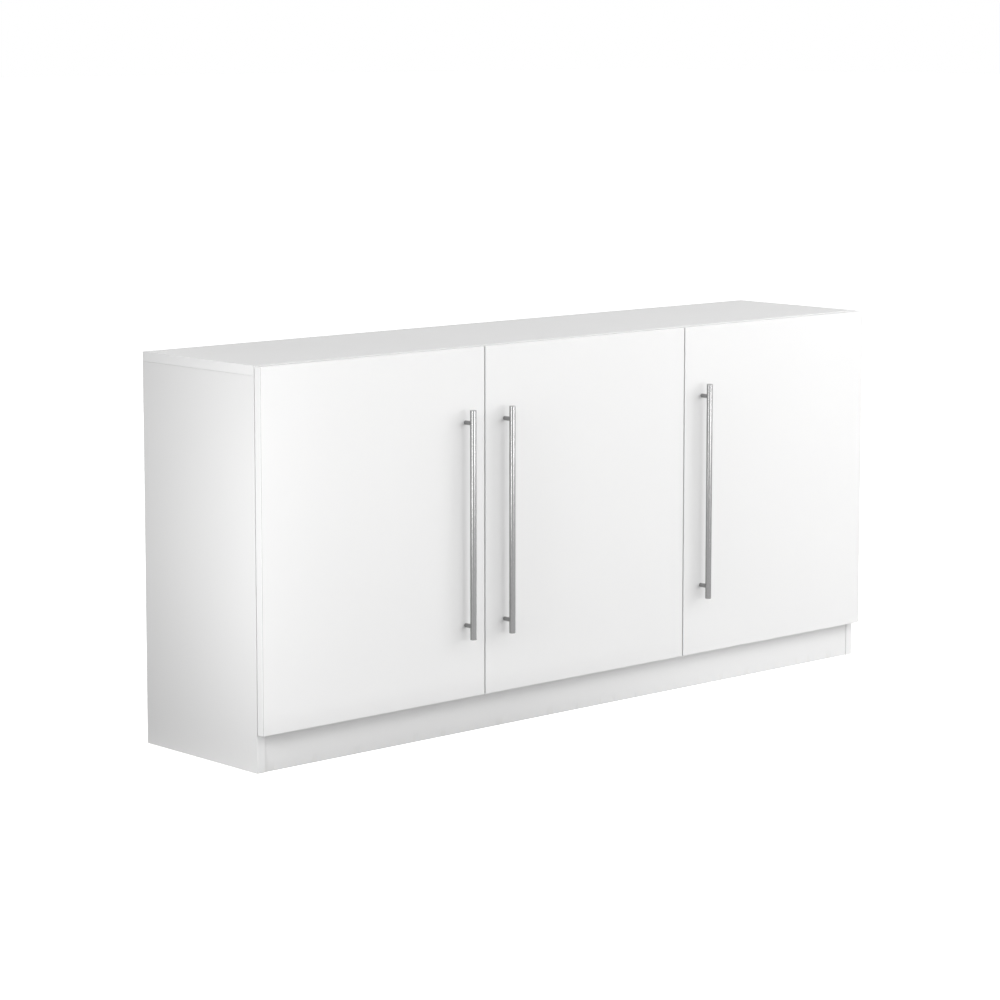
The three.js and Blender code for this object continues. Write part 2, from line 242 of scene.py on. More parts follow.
def laminate(name, low, high, banded, scuffed=False, shaded_edge=None):
    finish = Finish(name, Roughness=0.4, IOR=1.5)
    band, seam, corner_shade = None, None, None
    for side in banded:
        axis = "xyz".index(side[1])
        run = (finish.x, finish.y, finish.z)[axis]
        depth = run - low[axis] if side[0] == "-" else high[axis] - run
        strip = depth.below(BAND)
        line = depth.off(BAND).below(SEAM)
        # Painted shade: a mask for the wider grey line at the rounded corner of a door's outer edge.
        if side == shaded_edge:
            corner_shade = depth.off(BAND).below(CORNER_SHADE_REACH)
        band = strip if band is None else band.or_else(strip)
        seam = line if seam is None else seam.or_else(line)
    cloud = finish.noise(5, detail=4)
    pebble = finish.noise(1500, detail=2, roughness=0.6)
    ripple = finish.noise(60, detail=2)
    colour = finish.mix(cloud, LAMINATE, LAMINATE_SHADE)
    if scuffed:
        near_floor = ((SCUFF_TOP - finish.z) * SCUFF_FADE).or_else(0)
        streaks = finish.noise(40, detail=5, vector=finish.stretched((1, 1, 0.25))).above(0.6)
        colour = finish.mix(near_floor * streaks * 0.5, colour, SCUFF_GREY)
    rough = 0.36 + cloud * 0.07 + pebble * 0.06
    if band:
        colour = finish.mix(band, colour, BAND_WHITE)
        colour = finish.mix(seam * 0.8, colour, SEAM_GREY)
        # Painted shade: grey mixed in along that line, standing in for the shade of the rounded
        # corner.
        if corner_shade:
            colour = finish.mix(corner_shade * 0.85, colour, CORNER_SHADE_GREY)
        rough = rough - band * 0.08
    finish.feed(Base_Color=colour, Roughness=rough)
    return finish.bump((ripple, 0.01 * MM), (pebble, 0.012 * MM)).material


# %% [markdown]
# ## Raw particle board
# Where a board is cut and nobody looks, it is left bare: rear edges, the ends that stand on the
# floor, grooves and drilled holes. Particle board there shows pressed wood flakes, pale and dark,
# a few millimetres long and lying flat. A cell pattern gives each flake one colour.

# %% The particle board finish
FLAKES = [
    (0.0, (0.20, 0.12, 0.06)),
    (0.22, (0.42, 0.28, 0.15)),
    (0.55, (0.58, 0.43, 0.26)),
    (1.0, (0.74, 0.60, 0.41)),
]


def particle_board():
    finish = Finish("raw_particle_board", Roughness=0.85, IOR=1.4)
    flakes = finish.node("ShaderNodeTexVoronoi", inputs={
        "Vector": finish.stretched((1, 1, 1.6)), "Scale": 420, "Randomness": 1.0}, out="Color")
    tone = finish.node("ShaderNodeSeparateColor", inputs={0: flakes})
    dust = finish.noise(1800, detail=3)
    wood = finish.node("ShaderNodeValToRGB", {"stops": FLAKES}, {0: tone * 0.8 + dust * 0.2})
    finish.feed(Base_Color=wood, Roughness=0.75 + dust * 0.2)
    return finish.bump((tone, 0.12 * MM), (dust, 0.05 * MM)).material


RAW_BOARD = particle_board()

# %% [markdown]
# ## Hardboard backs
# A back sheet is three millimetres of hardboard. The side towards the bays has white lacquer with
# a slight orange peel. The rear is bare brown fibre that carries the print of the wire mesh it was
# pressed on, so two wave patterns cross there.

# %% The two sides of the hardboard
MESH_PITCH = 1.4 * MM


def lacquered_face():
    finish = Finish("lacquered_hardboard_face", Roughness=0.45, IOR=1.48, Coat_Weight=0.1)
    peel = finish.noise(350, detail=2)
    cloud = finish.noise(4, detail=3)
    finish.feed(
        Base_Color=finish.mix(cloud, (0.74, 0.735, 0.715), (0.71, 0.705, 0.685)),
        Roughness=0.4 + peel * 0.12,
    )
    return finish.bump((peel, 0.03 * MM)).material


def hardboard_rear():
    finish = Finish("brown_hardboard_rear", Roughness=0.8, IOR=1.45)
    turns = 2 * math.pi / MESH_PITCH
    weave = (finish.x * turns).math("SINE") * (finish.z * turns).math("SINE")
    fibre = finish.noise(260, detail=6, roughness=0.65)
    patch = finish.noise(7, detail=3)
    brown = finish.mix(fibre, (0.24, 0.135, 0.07), (0.38, 0.235, 0.13))
    finish.feed(
        Base_Color=finish.mix(patch * 0.35, brown, (0.45, 0.30, 0.18)),
        Roughness=0.7 + fibre * 0.2,
    )
    return finish.bump((weave, 0.10 * MM), (fibre, 0.06 * MM)).material


SHEET_FACE = lacquered_face()
SHEET_REAR = hardboard_rear()

# %% [markdown]
# ## Metals and plastics
# The handle bars are ground while they turn, so the finest lines run round them: the noise is
# squeezed hard along the bar and hardly at all across it. Hinge parts are pressed from sheet and
# nickel plated, so they are bright, with soft smears. Screws are zinc plated and duller.

# %% Metal finishes
BRUSH = (70, 70, 3600)


def ground_steel():
    finish = Finish(
        "ground_steel", Metallic=1.0, Roughness=0.3, Anisotropic=0.45, Anisotropic_Rotation=0.25)
    lines = finish.noise(1, detail=4, roughness=0.7, vector=finish.stretched(BRUSH))
    smear = finish.noise(25, detail=3)
    steel = finish.mix(lines, (0.27, 0.27, 0.275), (0.37, 0.37, 0.37))
    finish.feed(
        Base_Color=finish.mix(smear * 0.3, steel, (0.32, 0.317, 0.31)),
        Roughness=0.16 + lines * 0.12 + smear * 0.05,
    )
    return finish.bump((lines, 0.008 * MM)).material


def plated(name, bright, dull, roughness):
    finish = Finish(name, Metallic=1.0, Roughness=roughness)
    smear = finish.noise(90, detail=4)
    grain = finish.noise(2600, detail=2)
    finish.feed(
        Base_Color=finish.mix(smear, bright, dull),
        Roughness=roughness + smear * 0.12 + grain * 0.05,
    )
    return finish.bump((smear, 0.02 * MM), (grain, 0.004 * MM)).material


GROUND_STEEL = ground_steel()
NICKEL = plated("nickel_plate", (0.74, 0.725, 0.69), (0.60, 0.585, 0.55), 0.16)
ZINC = plated("zinc_plate", (0.66, 0.67, 0.68), (0.50, 0.51, 0.52), 0.28)


# %% Plastic finishes
def moulded(name, colour, dark, roughness, **values):
    finish = Finish(name, Roughness=roughness, IOR=1.49, **values)
    spark = finish.noise(3200, detail=1)
    cloud = finish.noise(60, detail=2)
    finish.feed(
        Base_Color=finish.mix(cloud, colour, dark),
        Roughness=roughness + spark * 0.15,
    )
    return finish.bump((spark, 0.01 * MM)).material


WHITE_PLASTIC = moulded("white_cap_plastic", (0.80, 0.80, 0.79), (0.76, 0.76, 0.75), 0.4)
CLEAR_BUFFER = moulded(
    "clear_buffer", (0.88, 0.9, 0.9), (0.82, 0.85, 0.86), 0.18, Transmission_Weight=0.7)
print("materials", len(bpy.data.materials))

# %% [markdown]
# ## Turning a mesh into a piece
# Each piece is one mesh with its place in its vertices. It rides on a body, carries the finishes it
# is given, and hides the measured nodes that it stands for. Round shapes are smoothed only across
# edges that are nearly flat, so that their corners stay crisp.


# %% Helpers for pieces
FLAT = math.radians(0.5)


def finish_piece(name, bm, body, materials, stands_for=(), smooth=None):
    mesh = bpy.data.meshes.new(name)
    bmesh.ops.recalc_face_normals(bm, faces=bm.faces)
    bm.to_mesh(mesh)
    bm.free()
    for material in materials:
        mesh.materials.append(material)
    if smooth:
        mesh.shade_smooth()
        mesh.set_sharp_from_angle(angle=math.radians(smooth))
    piece = bpy.data.objects.new(name, mesh)
    bpy.context.scene.collection.objects.link(piece)
    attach(piece, body)
    if stands_for:
        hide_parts(*stands_for)
    return piece


def cad_copy(node, merge=0.005 * MM):
    """A clean copy of a measured node: its loose triangles merged, and its flat faces made whole."""
    bm = bmesh.new()
    bm.from_mesh(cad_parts[node].data)
    bmesh.ops.remove_doubles(bm, verts=bm.verts, dist=merge)
    bmesh.ops.dissolve_degenerate(bm, dist=merge, edges=bm.edges)
    bmesh.ops.dissolve_limit(
        bm, angle_limit=FLAT, verts=bm.verts, edges=bm.edges, use_dissolve_boundaries=False)
    return bm


def rounded(bm, edges, radius, segments=3, clamp=True):
    bmesh.ops.bevel(
        bm, geom=edges, offset=radius, segments=segments, profile=0.5,
        affect="EDGES", material=-1, clamp_overlap=clamp)


# %% [markdown]
# ## The boards
# A measured board is a box with its grooves and holes. Its outer edges get a small arris, because a
# dead sharp edge catches no light and looks drawn. Only edges on the outside of the box are
# rounded, and not those of a side that butts against another board, where the joint stays tight.
# A face is white where the board is laminated or banded, and bare everywhere else.

# %% Helpers for boards
ARRIS = 0.6 * MM
ON_SURFACE = 0.05 * MM
EDGE_ON = 0.3


def outer_sides(point, low, high):
    """The sides of the box, such as '-y', that a point lies on."""
    sides = set()
    for axis, letter in enumerate("xyz"):
        if point[axis] - low[axis] < ON_SURFACE:
            sides.add("-" + letter)
        if high[axis] - point[axis] < ON_SURFACE:
            sides.add("+" + letter)
    return sides


def faced(face, low, high, white_sides):
    """Whether a face of a rounded board is laminated or banded."""
    point = face.calc_center_median()
    for axis, letter in enumerate("xyz"):
        turn = face.normal[axis]
        if abs(turn) < EDGE_ON:
            continue
        reach = high[axis] - point[axis] if turn > 0 else point[axis] - low[axis]
        if reach > ARRIS or ("+" if turn > 0 else "-") + letter not in white_sides:
            return False
    return True


def board(node, body, faces, banded, butted=(), scuffed=False, shaded_edge=None, arris=ARRIS):
    low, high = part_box(node)
    bm = cad_copy(node)
    outside = {v: outer_sides(v.co, low, high) for v in bm.verts}
    edges = []
    for edge in bm.edges:
        shared = outside[edge.verts[0]] & outside[edge.verts[1]]
        if len(shared) >= 2 and not shared & set(butted):
            edges.append(edge)
    rounded(bm, edges, arris)
    white_sides = {"-" + faces, "+" + faces, *banded, *butted}
    for face in bm.faces:
        face.material_index = 0 if faced(face, low, high, white_sides) else 1
    white = laminate(f"laminate_{node}", low, high, banded, scuffed, shaded_edge)
    return finish_piece(f"{node}_board", bm, body, [white, RAW_BOARD], [node])


# %% [markdown]
# The table gives each board of the carcass its laminated direction, its banded edges, and the edges
# that butt against another board. Edges that are in neither list were only sawn.

# %% Carcass boards
ENDS = ("-x", "+x")
CARCASS_BOARDS = {
    "top_panel": ("z", ("-y", "+y", *ENDS), ("-z",)),
    "left_side_panel": ("x", ("-y",), ("+z",)),
    "right_side_panel": ("x", ("-y",), ("+z",)),
    "bottom_panel": ("z", ("-y",), ENDS),
    "left_partition": ("x", ("-y",), ("-z", "+z")),
    "right_partition": ("x", ("-y",), ("-z", "+z")),
    "plinth_rear_rail": ("y", (), ("+z", *ENDS)),
    "left_plinth_brace": ("x", (), ("-y", "+y")),
    "right_plinth_brace": ("x", (), ("-y", "+y")),
    "left_shelf": ("z", ("-y",), ()),
    "middle_shelf": ("z", ("-y",), ()),
    "right_shelf": ("z", ("-y",), ()),
}
for node, (faces, banded, butted) in CARCASS_BOARDS.items():
    board(node, "carcass", faces, banded, butted)
board("plinth_front", "carcass", "y", ("-z",), ("+z", *ENDS), scuffed=True)
print("carcass boards", len(CARCASS_BOARDS) + 1)

# %% [markdown]
# The back sheets slide into grooves, so their edges are never seen and stay sharp. Only the face
# towards the bays is lacquered.

# %% Back sheets
for bay in DOORS:
    node = f"{bay}_back_sheet"
    bm = cad_copy(node)
    for face in bm.faces:
        face.material_index = 0 if face.normal.y < -0.5 else 1
    finish_piece(
        f"{node}_hardboard", bm, "carcass", [SHEET_FACE, SHEET_REAR], [node])

# %% [markdown]
# ## The doors
# A door is a board banded on all four edges, so its corners are a little rounder. The two round
# pockets in its back take the hinge cups.

# %% Doors
DOOR_ARRIS = 0.9 * MM
ALL_ROUND = ("-x", "+x", "-z", "+z")
# The outer edges of the end doors get the painted shade line at their rounded front corner.
OUTER_EDGES = {"left": "-x", "right": "+x"}
for side in DOORS:
    door = f"{side}_door"
    board(door, door, "y", ALL_ROUND, shaded_edge=OUTER_EDGES.get(side), arris=DOOR_ARRIS)
print("doors", len(DOORS))

# %% [markdown]
# ## Turned parts
# Bars, pins, caps and buffers are all turned on a lathe or could be. One outline of radius and
# height, spun about Z, makes each of them. The spin merges its first and last copy, and the points
# on the axis are merged into one pole.


# %% Helpers for turned parts
def arc(centre, radius, start, end, steps=4):
    """Points on a quarter round or any other arc, as (radius, height), with angles in degrees."""
    for step in range(steps + 1):
        angle = math.radians(start + (end - start) * step / steps)
        yield centre[0] + radius * math.cos(angle), centre[1] + radius * math.sin(angle)


def turned(outline, steps=48):
    bm = bmesh.new()
    points = [bm.verts.new((radius, 0, height)) for radius, height in outline]
    lines = [bm.edges.new(pair) for pair in zip(points, points[1:])]
    bmesh.ops.spin(
        bm, geom=points + lines, cent=(0, 0, 0), axis=(0, 0, 1), dvec=(0, 0, 0),
        angle=2 * math.pi, steps=steps, use_merge=True, use_duplicate=False)
    bmesh.ops.remove_doubles(bm, verts=bm.verts, dist=0.002 * MM)
    bmesh.ops.recalc_face_normals(bm, faces=bm.faces)
    return bm


def pointing(place, direction):
    """Moves a shape that was built along +Z to a place, and turns it to a direction."""
    turn = Vector(direction).to_track_quat("Z", "Y").to_matrix().to_4x4()
    return Matrix.Translation(place) @ turn


def stamped(shape, places):
    """One mesh that holds a copy of a shape at each place."""
    mesh = bpy.data.meshes.new("stamp")
    shape.to_mesh(mesh)
    shape.free()
    bm = bmesh.new()
    for place in places:
        first = len(bm.verts)
        bm.from_mesh(mesh)
        bm.verts.ensure_lookup_table()
        bmesh.ops.transform(bm, matrix=place, verts=bm.verts[first:])
    bpy.data.meshes.remove(mesh)
    return bm


# %% [markdown]
# ## Bar handles
# A handle is a straight steel bar on two short posts. The bar's ends are cut square with a small
# round, and a shallow ring shows on each end where the tool left the metal. The posts keep the
# measured shape, because each one is hollowed to the curve of the bar that it carries.

# %% Handles
END_ROUND = 0.8 * MM
RING_DEPTH = 0.15 * MM
RING_SHARES = (0.55, 0.5)
for side in DOORS:
    low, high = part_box(f"{side}_handle_bar")
    middle = (low + high) / 2
    radius = (high.x - low.x) / 2
    half = (high.z - low.z) / 2
    shoulder = (radius - END_ROUND, half - END_ROUND)
    upper = [
        *arc(shoulder, END_ROUND, 0, 90),
        (radius * RING_SHARES[0], half),
        (radius * RING_SHARES[1], half - RING_DEPTH),
        (0, half - RING_DEPTH),
    ]
    outline = [(r, -h) for r, h in reversed(upper)] + upper
    bm = turned(outline, steps=64)
    bmesh.ops.transform(bm, matrix=Matrix.Translation(middle), verts=bm.verts)
    finish_piece(
        f"{side}_handle_bar_steel", bm, f"{side}_door", [GROUND_STEEL],
        [f"{side}_handle_bar"], smooth=35)
    for end in ("lower", "upper"):
        node = f"{side}_handle_post_{end}"
        finish_piece(
            f"{node}_steel", cad_copy(node), f"{side}_door", [GROUND_STEEL],
            [node], smooth=35)
print("handles", len(DOORS))

# %% [markdown]
# ## Cup hinges
# Each hinge has a pressed cup in the door, a pin across the cup, and a cranked arm on the board.
# The measured shapes carry all the clearances that let the door swing, so they are kept, and only
# their sharp convex edges are broken, as pressing and barrel polishing would do.

# %% Hinge cups, arms and pins
PRESSED_EDGE = 0.12 * MM
SLIVER = 0.045 * MM
SHORTEST_EDGE = 0.4 * MM
FOLD = math.radians(50)
LEFTOVER = 0.01 * MM
PIN_CROWN = 0.6


def pressed(node, body, name):
    bm = cad_copy(node, SLIVER)
    sharp = [
        e for e in bm.edges
        if e.is_manifold and e.calc_face_angle_signed() > FOLD and e.calc_length() > SHORTEST_EDGE
    ]
    rounded(bm, sharp, PRESSED_EDGE, segments=2, clamp=False)
    bmesh.ops.dissolve_degenerate(bm, dist=LEFTOVER, edges=bm.edges)
    return finish_piece(name, bm, body, [NICKEL], [node], smooth=30)


HINGES = [(side, end) for side in DOORS for end in ("lower", "upper")]
for side, end in HINGES:
    hinge = f"{side}_{end}_hinge"
    pressed(f"{hinge}_arm", "carcass", f"{hinge}_arm_pressing")
    pressed(f"{hinge}_cup", f"{side}_door", f"{hinge}_cup_pressing")
    low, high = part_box(f"{hinge}_pin")
    radius = (high.x - low.x) / 2
    half = (high.z - low.z) / 2
    crown = radius * PIN_CROWN
    dome = [*arc((radius - crown, half - crown), crown, 0, 90, 3), (0, half)]
    bm = turned([(r, -h) for r, h in reversed(dome)] + dome, steps=24)
    bmesh.ops.transform(bm, matrix=Matrix.Translation((low + high) / 2), verts=bm.verts)
    finish_piece(
        f"{hinge}_pin_steel", bm, f"{side}_door", [NICKEL],
        [f"{hinge}_pin"], smooth=40)
print("hinges", len(HINGES))

# %% [markdown]
# ## Screws
# Every screw here has a low round head with a cross recess. The head starts as a flat ring between
# a circle and a cross. The circle is pulled out and down into the head's shoulder, and the cross is
# pushed in and narrowed into the recess.


# %% A screw head
RIM_SHARE = 0.72
RECESS_REACH = 0.56
RECESS_HALF_WIDTH = 0.13
RECESS_DEPTH = 0.7
RECESS_TAPER = 0.7
SHOULDER = ((1.2, 0.10), (1.12, 0.25), (1.033, 0.65))


def screw_head(radius, height, steps=20):
    bm = bmesh.new()
    bmesh.ops.create_circle(bm, segments=steps, radius=radius * RIM_SHARE, cap_ends=False)
    arm, half = radius * RECESS_REACH, radius * RECESS_HALF_WIDTH
    corners = [(arm, -half), (arm, half), (half, half)]
    cross = [
        bm.verts.new((x * c - y * s, x * s + y * c, 0))
        for c, s in ((1, 0), (0, 1), (-1, 0), (0, -1))
        for x, y in corners
    ]
    cross_edges = [bm.edges.new((a, b)) for a, b in zip(cross, cross[1:] + cross[:1])]
    rim_edges = [e for e in bm.edges if e not in cross_edges]
    bmesh.ops.translate(bm, verts=bm.verts, vec=(0, 0, height))
    bmesh.ops.triangle_fill(bm, edges=rim_edges + cross_edges, use_beauty=True)
    edges = rim_edges
    for spread, drop in SHOULDER:
        made = bmesh.ops.extrude_edge_only(bm, edges=edges)["geom"]
        verts = [g for g in made if isinstance(g, bmesh.types.BMVert)]
        edges = [g for g in made if isinstance(g, bmesh.types.BMEdge)]
        bmesh.ops.scale(bm, verts=verts, vec=(spread, spread, 1))
        bmesh.ops.translate(bm, verts=verts, vec=(0, 0, -height * drop))
    bmesh.ops.edgenet_fill(bm, edges=edges)
    made = bmesh.ops.extrude_edge_only(bm, edges=cross_edges)["geom"]
    verts = [g for g in made if isinstance(g, bmesh.types.BMVert)]
    bmesh.ops.scale(bm, verts=verts, vec=(RECESS_TAPER, RECESS_TAPER, 1))
    bmesh.ops.translate(bm, verts=verts, vec=(0, 0, -height * RECESS_DEPTH))
    bmesh.ops.edgenet_fill(bm, edges=[g for g in made if isinstance(g, bmesh.types.BMEdge)])
    bmesh.ops.recalc_face_normals(bm, faces=bm.faces)
    return bm


# %% [markdown]
# Two screws hold the wings of each cup to the door's back, above and below the pin.

# %% Screws in the hinge cups
HINGE_SCREW = (3.6 * MM, 1.5 * MM)
WING_SCREW_INSET = 7 * MM
WING_SCREW_RISE = 23 * MM
INWARD = {"left": 1, "middle": -1, "right": -1}


def hinge_height(side, end):
    low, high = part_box(f"{side}_{end}_hinge_pin")
    return (low.z + high.z) / 2


for side in DOORS:
    places = []
    for end in ("lower", "upper"):
        low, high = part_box(f"{side}_{end}_hinge_cup")
        wing = high.x - WING_SCREW_INSET if INWARD[side] > 0 else low.x + WING_SCREW_INSET
        for rise in (-WING_SCREW_RISE, WING_SCREW_RISE):
            place = Vector((wing, high.y, hinge_height(side, end) + rise))
            places.append(pointing(place, (0, 1, 0)))
    finish_piece(
        f"{side}_door_cup_screws", stamped(screw_head(*HINGE_SCREW), places), f"{side}_door",
        [ZINC], smooth=40)

# %% [markdown]
# Two screws hold each arm's plate to its board. Two smaller ones in the arm itself shift the door
# in depth and sideways.

# %% Screws in the hinge arms
ADJUSTING_SCREW = (2.8 * MM, 0.9 * MM)
PLATE_OUT = 2.6 * MM
PLATE_BACK = 23 * MM
PLATE_SCREW_RISE = 17 * MM
ADJUSTING_SCREW_REACH = 13 * MM
CARRIERS = {"left": "left_side_panel", "middle": "right_partition", "right": "right_side_panel"}
plate_screws, adjusting_screws = [], []
for side in DOORS:
    inward = INWARD[side]
    board_low, board_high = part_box(CARRIERS[side])
    plate_x = (board_high if inward > 0 else board_low).x + inward * PLATE_OUT
    for end in ("lower", "upper"):
        low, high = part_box(f"{side}_{end}_hinge_arm")
        body_x = (high if inward > 0 else low).x
        plate_y = high.y - PLATE_BACK
        height = hinge_height(side, end)
        for way in (-1, 1):
            place = Vector((plate_x, plate_y, height + way * PLATE_SCREW_RISE))
            plate_screws.append(pointing(place, (inward, 0, 0)))
            place = Vector((body_x, plate_y + way * ADJUSTING_SCREW_REACH, height))
            adjusting_screws.append(pointing(place, (inward, 0, 0)))
for name, size, places in (
    ("hinge_plate_screws", HINGE_SCREW, plate_screws),
    ("hinge_adjusting_screws", ADJUSTING_SCREW, adjusting_screws),
):
    finish_piece(
        name, stamped(screw_head(*size), places), "carcass", [ZINC], smooth=40)
print("hinge screws", len(plate_screws) + len(adjusting_screws))

# %% [markdown]
# A handle is screwed on from behind, so a head shows in the door's back in line with each post.

# %% Screws behind the handles
HANDLE_SCREW = (4.4 * MM, 2.2 * MM)
for side in DOORS:
    door_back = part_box(f"{side}_door")[1].y
    places = []
    for end in ("lower", "upper"):
        low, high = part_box(f"{side}_handle_post_{end}")
        place = Vector(((low.x + high.x) / 2, door_back, (low.z + high.z) / 2))
        places.append(pointing(place, (0, 1, 0)))
    finish_piece(
        f"{side}_handle_screws", stamped(screw_head(*HANDLE_SCREW), places), f"{side}_door",
        [ZINC], smooth=40)

# %% [markdown]
# ## Shelf pins, cover caps and buffers
# A shelf rests on four turned pins. Round plastic caps hide the fittings that pull the boards
# together, high on the sides and partitions and under the bottom. Clear buffers keep the door
# backs off the carcass.

# %% Shelf pins
PEG_RADIUS = 2.4 * MM
PEG_CHAMFER = 0.4 * MM
PEG_ROUND = 0.9 * MM
COLLAR_RADIUS = 4 * MM
COLLAR_THICKNESS = 1.2 * MM
COLLAR_CHAMFER = 0.2 * MM
COLLAR_ROUND = 0.4 * MM
COLLAR_GAP = 0.3 * MM


def pin_outline(length):
    seat = length / 2 + COLLAR_GAP
    rim = seat + COLLAR_THICKNESS
    return [
        (0, 0),
        (PEG_RADIUS - PEG_CHAMFER, 0),
        (PEG_RADIUS, PEG_CHAMFER),
        (PEG_RADIUS, seat),
        (COLLAR_RADIUS - COLLAR_CHAMFER, seat),
        *arc((COLLAR_RADIUS - COLLAR_ROUND, rim - COLLAR_ROUND), COLLAR_ROUND, 0, 90, 3),
        (PEG_RADIUS, rim),
        *arc((PEG_RADIUS - PEG_ROUND, length - PEG_ROUND), PEG_ROUND, 0, 90),
        (0, length),
    ]


for bay in DOORS:
    for end, direction in (("left", 1), ("right", -1)):
        for row in ("front", "rear"):
            node = f"{bay}_shelf_pin_{end}_{row}"
            low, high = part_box(node)
            middle = (low + high) / 2
            bm = turned(pin_outline(high.x - low.x), steps=32)
            start = Vector((low.x if direction > 0 else high.x, middle.y, middle.z))
            bmesh.ops.transform(bm, matrix=pointing(start, (direction, 0, 0)), verts=bm.verts)
            finish_piece(
                f"{node}_turned", bm, "carcass", [NICKEL], [node], smooth=35)

# %% [markdown]
# The caps on the sides and partitions sit just under the top, and those of the bottom panel sit
# near its two ends. All are the same moulding.

# %% Cover caps
CAP_RADIUS = 8.5 * MM
CAP_HEIGHT = 1.1 * MM
CAP_ROUND = 0.7 * MM
CAP_DROP = 26 * MM
CAP_INSETS = (42 * MM, 290 * MM)
cap_outline = [
    (0, 0),
    (CAP_RADIUS, 0),
    *arc((CAP_RADIUS - CAP_ROUND, CAP_HEIGHT - CAP_ROUND), CAP_ROUND, 0, 90, 4),
    (0, CAP_HEIGHT),
]
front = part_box("left_side_panel")[0].y
caps = []
for node, direction in (
    ("left_side_panel", 1), ("right_side_panel", -1), ("left_partition", 1), ("right_partition", -1),
):
    low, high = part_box(node)
    face_x = high.x if direction > 0 else low.x
    for inset in CAP_INSETS:
        place = Vector((face_x, front + inset, high.z - CAP_DROP))
        caps.append(pointing(place, (direction, 0, 0)))
low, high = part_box("bottom_panel")
for end_x in (low.x + CAP_DROP, high.x - CAP_DROP):
    for inset in CAP_INSETS:
        caps.append(pointing(Vector((end_x, front + inset, low.z)), (0, 0, -1)))
finish_piece("fitting_cover_caps", stamped(turned(cap_outline, 40), caps), "carcass",
             [WHITE_PLASTIC], smooth=40)
print("cover caps", len(caps))

# %% [markdown]
# Each door has two soft buffers in the corners of its free edge. They fill most of the air between
# the door and the carcass, and close the door without a knock.

# %% Door buffers
BUFFER_RADIUS = 4 * MM
BUFFER_HEIGHT = 1.6 * MM
BUFFER_ROUND = 1.2 * MM
BUFFER_INSET = 9 * MM
buffer_outline = [
    (0, 0),
    (BUFFER_RADIUS, 0),
    *arc((BUFFER_RADIUS - BUFFER_ROUND, BUFFER_HEIGHT - BUFFER_ROUND), BUFFER_ROUND, 0, 90, 5),
    (0, BUFFER_HEIGHT),
]
for side in DOORS:
    low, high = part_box(f"{side}_door")
    free_x = high.x - BUFFER_INSET / 2 if side == "left" else low.x + BUFFER_INSET / 2
    places = [
        pointing(Vector((free_x, high.y, z)), (0, 1, 0))
        for z in (low.z + 2 * BUFFER_INSET, high.z - BUFFER_INSET)
    ]
    finish_piece(f"{side}_door_buffers", stamped(turned(buffer_outline, 32), places),
                 f"{side}_door", [CLEAR_BUFFER], smooth=40)

# %% [markdown]
# ## Floor and light
# The sideboard stands in a bright white studio. What the camera sees as the floor is a pale sheet
# that runs out of sight. A white floor would throw so much light upwards that the recessed plinth
# lost its shade, so a second, greyer sheet just below takes its place for bounced light. Dark cards
# hidden from the camera stand and lie at the left rear, so that the left side falls off towards the
# back. A low one in front keeps the flattest light off the plinth. It stands further out than an
# open door reaches.

# %% Floor sheets and dark cards
FLOOR_HALF = 60
FLOOR_DROP = 0.2 * MM
CARD_DROP = 0.45 * MM
BOUNCE_DROP = 0.7 * MM


def studio_sheet(name, material, corner, along, up, seen):
    """A flat sheet of the studio from a corner and two sides; only seen sheets reach the camera."""
    bm = bmesh.new()
    bmesh.ops.create_grid(bm, x_segments=1, y_segments=1, size=0.5)
    along, up, corner = Vector(along), Vector(up), Vector(corner)
    for vert in bm.verts:
        vert.co = corner + along * (vert.co.x + 0.5) + up * (vert.co.y + 0.5)
    mesh = bpy.data.meshes.new(name)
    bm.to_mesh(mesh)
    bm.free()
    mesh.materials.append(material)
    sheet = bpy.data.objects.new(name, mesh)
    bpy.context.scene.collection.objects.link(sheet)
    sheet.visible_camera = seen
    sheet.visible_glossy = False
    sheet.visible_diffuse = not seen
    sheet.visible_shadow = not seen


def matt(name, light, dark, glow=0.0):
    finish = Finish(name, Roughness=0.9, Specular_IOR_Level=0.0)
    cloud = finish.noise(0.8, detail=2)
    finish.feed(Base_Color=finish.mix(cloud, (light,) * 3, (dark,) * 3))
    finish.shader.inputs["Emission Color"].default_value = (1, 1, 1, 1)
    finish.shader.inputs["Emission Strength"].default_value = glow
    return finish.material


WIDE, DEEP = (2 * FLOOR_HALF, 0, 0), (0, 2 * FLOOR_HALF, 0)
studio_sheet("studio_floor", matt("pale_floor", 0.86, 0.84, glow=0.85),
             (-FLOOR_HALF, -FLOOR_HALF, -FLOOR_DROP), WIDE, DEEP, seen=True)
studio_sheet("bounce_floor", matt("grey_floor", 0.31, 0.29),
             (-FLOOR_HALF, -FLOOR_HALF, -BOUNCE_DROP), WIDE, DEEP, seen=False)
CARD = matt("dark_card", 0.035, 0.03)
studio_sheet("standing_card", CARD, (-1.5, 0.25, 0), (0, 1.95, 0), (0, 0, 1.4), seen=False)
studio_sheet("lying_card", CARD, (-2.4, -0.25, -CARD_DROP), (1.57, 0, 0), (0, 2.25, 0), seen=False)
studio_sheet("low_card", CARD, (-1.45, -0.76, 0), (1.6, 0, 0), (0, 0, 0.12), seen=False)

# %% [markdown]
# The sky is bright near the horizon and duller overhead, with a soft step between the two, so the
# upright faces stay lighter than the top.

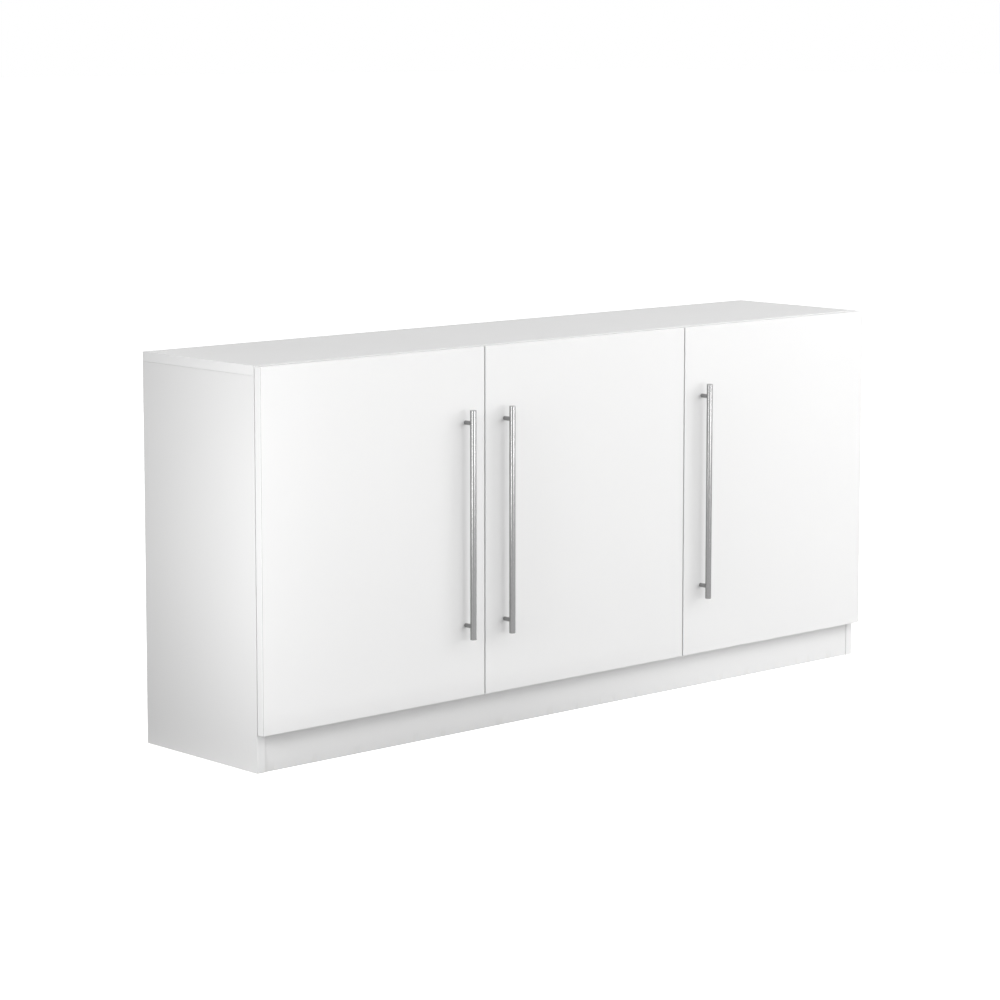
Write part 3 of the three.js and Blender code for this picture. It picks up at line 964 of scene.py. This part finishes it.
# %% Sky
SKY_LOW = 1.0
SKY_HIGH = 0.6
SKY_BEND = 0.26
SKY_BLEND = 0.08
world = bpy.data.worlds.new("studio")
world.use_nodes = True
sky = world.node_tree
direction = sky.nodes.new("ShaderNodeTexCoord")
height = sky.nodes.new("ShaderNodeSeparateXYZ")
strength = sky.nodes.new("ShaderNodeMapRange")
strength.interpolation_type = "SMOOTHSTEP"
step = {1: SKY_BEND - SKY_BLEND, 2: SKY_BEND + SKY_BLEND, 3: SKY_LOW, 4: SKY_HIGH}
for key, value in step.items():
    strength.inputs[key].default_value = value
sky.links.new(direction.outputs["Generated"], height.inputs[0])
sky.links.new(height.outputs[2], strength.inputs[0])
sky.links.new(strength.outputs[0], sky.nodes["Background"].inputs["Strength"])
sky.nodes["Background"].inputs["Color"].default_value = (1, 1, 1, 1)
bpy.context.scene.world = world

# %% [markdown]
# Soft panels do the rest. A low one and a high one in front light the doors evenly, and one at
# each front corner makes the outer ends a little brighter than the middle. Two small ones close to
# the left side brighten its front half, a far one fills in from the left, and one lights the rear.


# %% Soft panels
def soft_panel(name, place, aim, size, watts):
    data = bpy.data.lights.new(name, "AREA")
    data.shape = "RECTANGLE"
    data.size, data.size_y = size
    data.energy = watts
    lamp = bpy.data.objects.new(name, data)
    lamp.location = place
    lamp.rotation_euler = (Vector(aim) - Vector(place)).to_track_quat("-Z", "Y").to_euler()
    lamp.visible_camera = False
    bpy.context.scene.collection.objects.link(lamp)


soft_panel("front_low", (0.5, -4, 0.6), (0, 0, 0.4), (3, 0.8), 39)
soft_panel("front_high", (0, -2.5, 3.2), (0, 0, 0.4), (2.5, 1.5), 25)
soft_panel("left_fill", (-4.5, -1.0, 2.2), (-0.8, 0, 0.4), (2, 2), 27)
soft_panel("left_corner", (-2.0, -1.1, 1.3), (-0.8, -0.1, 0.6), (0.6, 0.6), 2)
soft_panel("right_corner", (2.2, -1.8, 1.6), (0.8, -0.1, 0.4), (1.7, 1.4), 34)
soft_panel("rear_fill", (0.5, 4.5, 1.0), (0, 0.2, 0.4), (3, 1.5), 60)
soft_panel("side_low", (-1.5, -0.35, 0.35), (-0.8, -0.1, 0.25), (0.3, 0.3), 2.3)
soft_panel("side_high", (-1.5, -0.45, 0.7), (-0.8, -0.1, 0.5), (0.3, 0.3), 1.9)
bpy.context.scene.view_settings.view_transform = "Standard"
bpy.context.scene.view_settings.look = "None"
